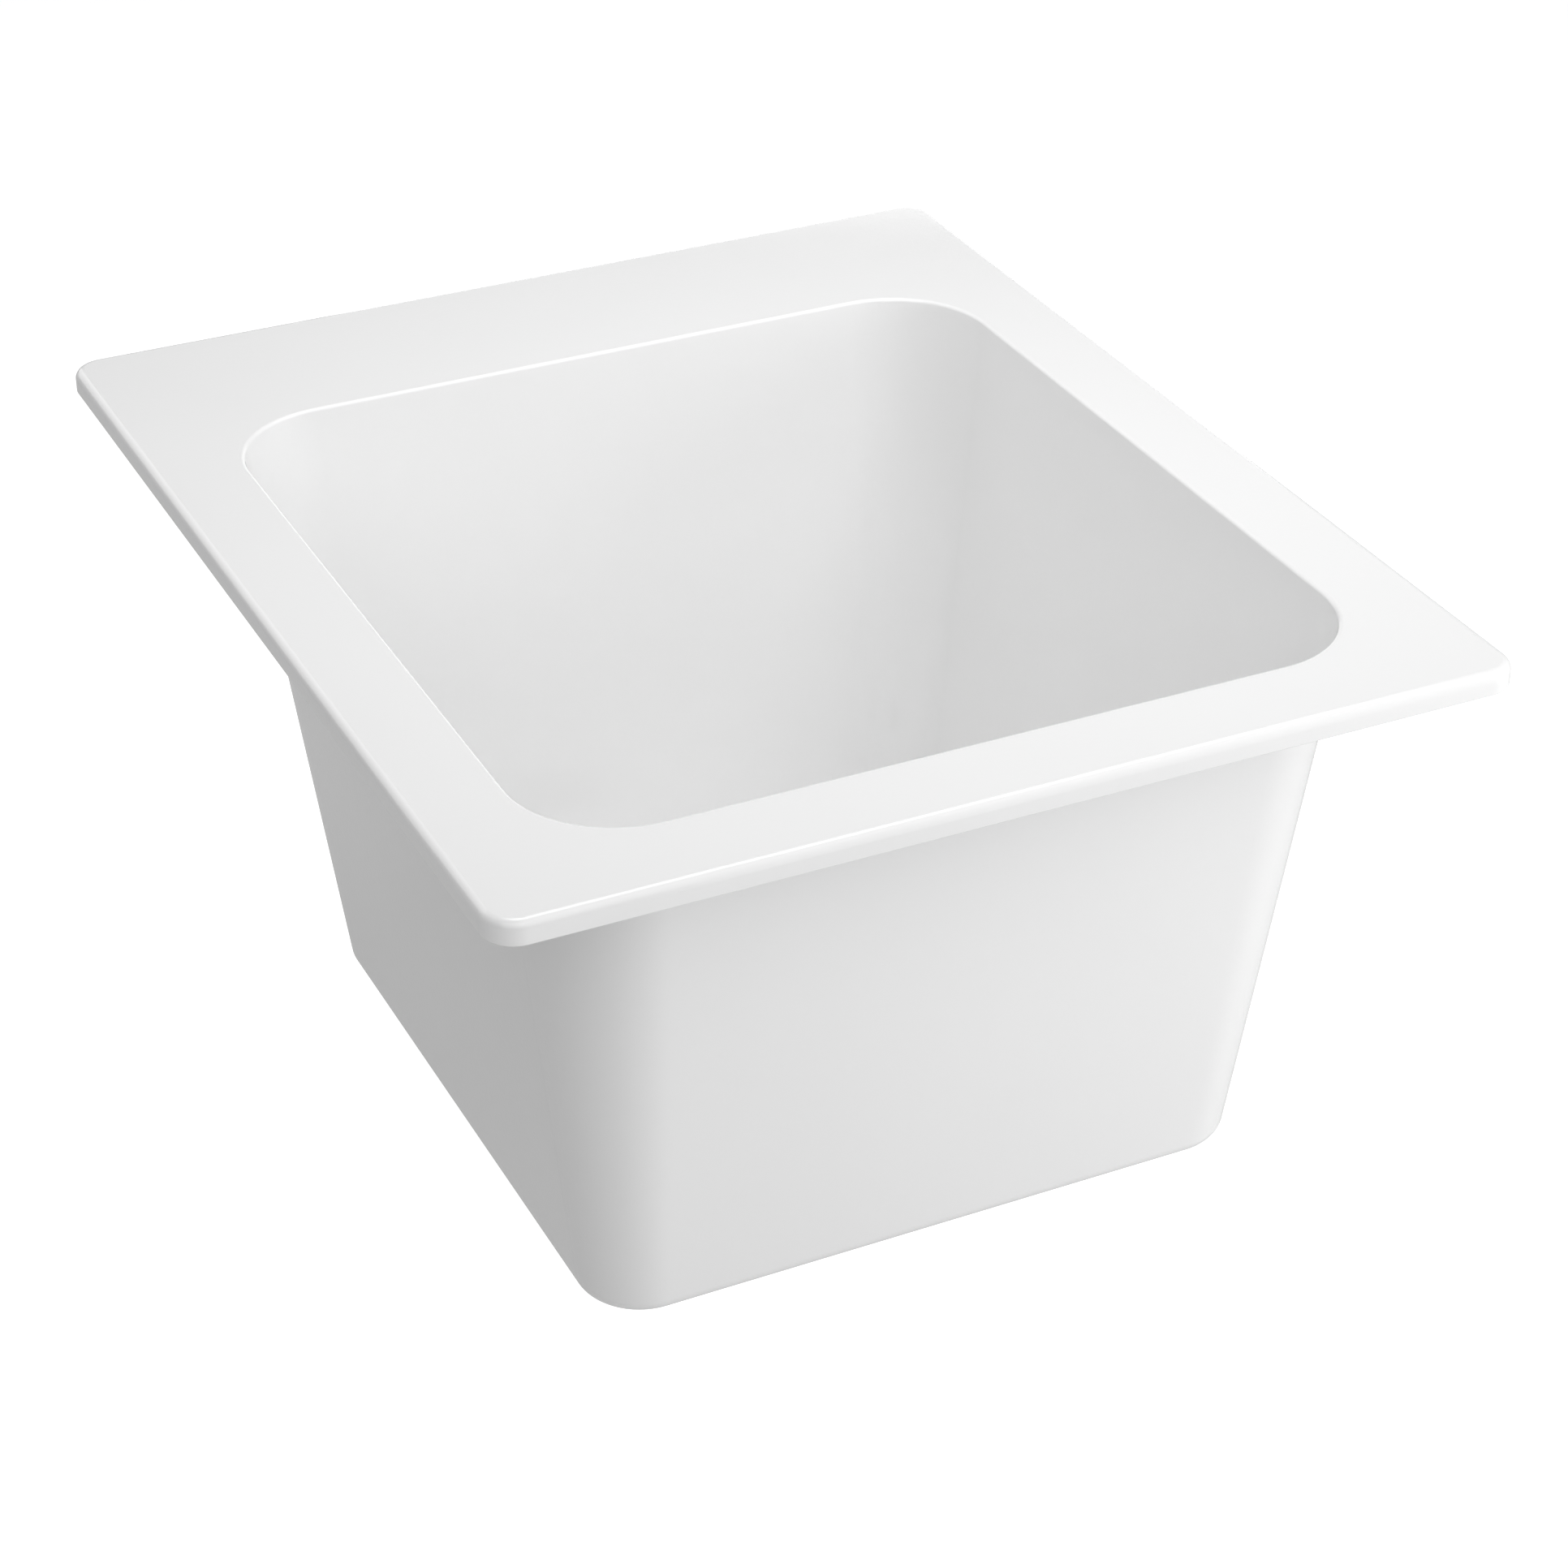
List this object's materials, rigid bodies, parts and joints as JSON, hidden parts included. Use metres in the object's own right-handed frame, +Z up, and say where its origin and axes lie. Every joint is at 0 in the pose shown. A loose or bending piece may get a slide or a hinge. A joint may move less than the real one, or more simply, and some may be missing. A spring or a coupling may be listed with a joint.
{
  "type": "drop-in laundry sink",
  "caption": "Deep white drop-in laundry sink with a wide bare tap ledge at the back, a basket strainer drain and hold-down clips under the rim.",
  "frame": {"origin": "centre of the rim's rectangle on the plane of the worktop's upper face, which is the rim's underside", "axes": "+Z up, +Y towards the wide ledge at the back, +X to the right along the front edge"},
  "size_m": [0.5334, 0.635, 0.4545],
  "materials": {
    "basin_white": "white gloss, moulded",
    "foam_seal": "dark closed-cell foam",
    "stainless": "satin stainless",
    "polished_steel": "polished stainless",
    "locknut_brass": "cast, dull",
    "chromed_brass": "chrome plated",
    "black_rubber": "matt",
    "putty": "soft, matt",
    "fibre": "pressed fibre, matt",
    "white_washer": "polyethylene",
    "zinc_steel": "bright zinc plated"
  },
  "bodies": {
    "root": {"basin": "basin_white", "rim_seal": "foam_seal", "strainer_body": "stainless", "putty_ring": "putty", "drain_gasket": "black_rubber", "friction_ring": "fibre", "locknut": "locknut_brass", "post_clip": "stainless", "outlet_washer": "white_washer", "coupling_nut": "chromed_brass", "tailpiece": "chromed_brass"},
    "basket": {"basket_cup": "stainless", "basket_post": "stainless", "basket_knob": "polished_steel", "stopper": "black_rubber", "stopper_retainer": "stainless"},
    "washer_front": {"clip_washer_front": "zinc_steel"},
    "screw_front": {"clip_screw_front": "zinc_steel"},
    "strap_front": {"clip_strap_front": "zinc_steel"},
    "washer_right_front": {"clip_washer_right_front": "zinc_steel"},
    "screw_right_front": {"clip_screw_right_front": "zinc_steel"},
    "strap_right_front": {"clip_strap_right_front": "zinc_steel"},
    "washer_right_back": {"clip_washer_right_back": "zinc_steel"},
    "screw_right_back": {"clip_screw_right_back": "zinc_steel"},
    "strap_right_back": {"clip_strap_right_back": "zinc_steel"},
    "washer_back": {"clip_washer_back": "zinc_steel"},
    "screw_back": {"clip_screw_back": "zinc_steel"},
    "strap_back": {"clip_strap_back": "zinc_steel"},
    "washer_left_back": {"clip_washer_left_back": "zinc_steel"},
    "screw_left_back": {"clip_screw_left_back": "zinc_steel"},
    "strap_left_back": {"clip_strap_left_back": "zinc_steel"},
    "washer_left_front": {"clip_washer_left_front": "zinc_steel"},
    "screw_left_front": {"clip_screw_left_front": "zinc_steel"},
    "strap_left_front": {"clip_strap_left_front": "zinc_steel"}
  },
  "joints": [
    {"name": "basket_lift", "type": "slide", "parent": "root", "child": "basket", "axis": [0, 0, 1], "range_m": [-0.008, 0.075]},
    {"name": "clip_travel_front", "type": "slide", "parent": "root", "child": "washer_front", "axis": [0, 0, -1], "range_m": [0, 0.014]},
    {"name": "clip_turn_front", "type": "hinge", "parent": "washer_front", "child": "screw_front", "pos_m": [0, -0.2835, -0.016], "axis": [0, 0, -1], "range_deg": [0, 2520]},
    {"name": "strap_swing_front", "type": "hinge", "parent": "washer_front", "child": "strap_front", "pos_m": [0, -0.2835, -0.016], "axis": [0, 0, 1], "range_deg": [0, 90]},
    {"name": "clip_travel_right_front", "type": "slide", "parent": "root", "child": "washer_right_front", "axis": [0, 0, -1], "range_m": [0, 0.014]},
    {"name": "clip_turn_right_front", "type": "hinge", "parent": "washer_right_front", "child": "screw_right_front", "pos_m": [0.2327, -0.148, -0.016], "axis": [0, 0, -1], "range_deg": [0, 2520]},
    {"name": "strap_swing_right_front", "type": "hinge", "parent": "washer_right_front", "child": "strap_right_front", "pos_m": [0.2327, -0.148, -0.016], "axis": [0, 0, 1], "range_deg": [0, 90]},
    {"name": "clip_travel_right_back", "type": "slide", "parent": "root", "child": "washer_right_back", "axis": [0, 0, -1], "range_m": [0, 0.014]},
    {"name": "clip_turn_right_back", "type": "hinge", "parent": "washer_right_back", "child": "screw_right_back", "pos_m": [0.2327, 0.082, -0.016], "axis": [0, 0, -1], "range_deg": [0, 2520]},
    {"name": "strap_swing_right_back", "type": "hinge", "parent": "washer_right_back", "child": "strap_right_back", "pos_m": [0.2327, 0.082, -0.016], "axis": [0, 0, 1], "range_deg": [0, 90]},
    {"name": "clip_travel_back", "type": "slide", "parent": "root", "child": "washer_back", "axis": [0, 0, -1], "range_m": [0, 0.014]},
    {"name": "clip_turn_back", "type": "hinge", "parent": "washer_back", "child": "screw_back", "pos_m": [0, 0.2835, -0.016], "axis": [0, 0, -1], "range_deg": [0, 2520]},
    {"name": "strap_swing_back", "type": "hinge", "parent": "washer_back", "child": "strap_back", "pos_m": [0, 0.2835, -0.016], "axis": [0, 0, 1], "range_deg": [0, 90]},
    {"name": "clip_travel_left_back", "type": "slide", "parent": "root", "child": "washer_left_back", "axis": [0, 0, -1], "range_m": [0, 0.014]},
    {"name": "clip_turn_left_back", "type": "hinge", "parent": "washer_left_back", "child": "screw_left_back", "pos_m": [-0.2327, 0.082, -0.016], "axis": [0, 0, -1], "range_deg": [0, 2520]},
    {"name": "strap_swing_left_back", "type": "hinge", "parent": "washer_left_back", "child": "strap_left_back", "pos_m": [-0.2327, 0.082, -0.016], "axis": [0, 0, 1], "range_deg": [0, 90]},
    {"name": "clip_travel_left_front", "type": "slide", "parent": "root", "child": "washer_left_front", "axis": [0, 0, -1], "range_m": [0, 0.014]},
    {"name": "clip_turn_left_front", "type": "hinge", "parent": "washer_left_front", "child": "screw_left_front", "pos_m": [-0.2327, -0.148, -0.016], "axis": [0, 0, -1], "range_deg": [0, 2520]},
    {"name": "strap_swing_left_front", "type": "hinge", "parent": "washer_left_front", "child": "strap_left_front", "pos_m": [-0.2327, -0.148, -0.016], "axis": [0, 0, 1], "range_deg": [0, 90]}
  ],
  "couplings": [
    {"joint": "clip_turn_front", "follows": "clip_travel_front", "rad_per_m": 3141.6},
    {"joint": "clip_turn_right_front", "follows": "clip_travel_right_front", "rad_per_m": 3141.6},
    {"joint": "clip_turn_right_back", "follows": "clip_travel_right_back", "rad_per_m": 3141.6},
    {"joint": "clip_turn_back", "follows": "clip_travel_back", "rad_per_m": 3141.6},
    {"joint": "clip_turn_left_back", "follows": "clip_travel_left_back", "rad_per_m": 3141.6},
    {"joint": "clip_turn_left_front", "follows": "clip_travel_left_front", "rad_per_m": 3141.6}
  ]
}
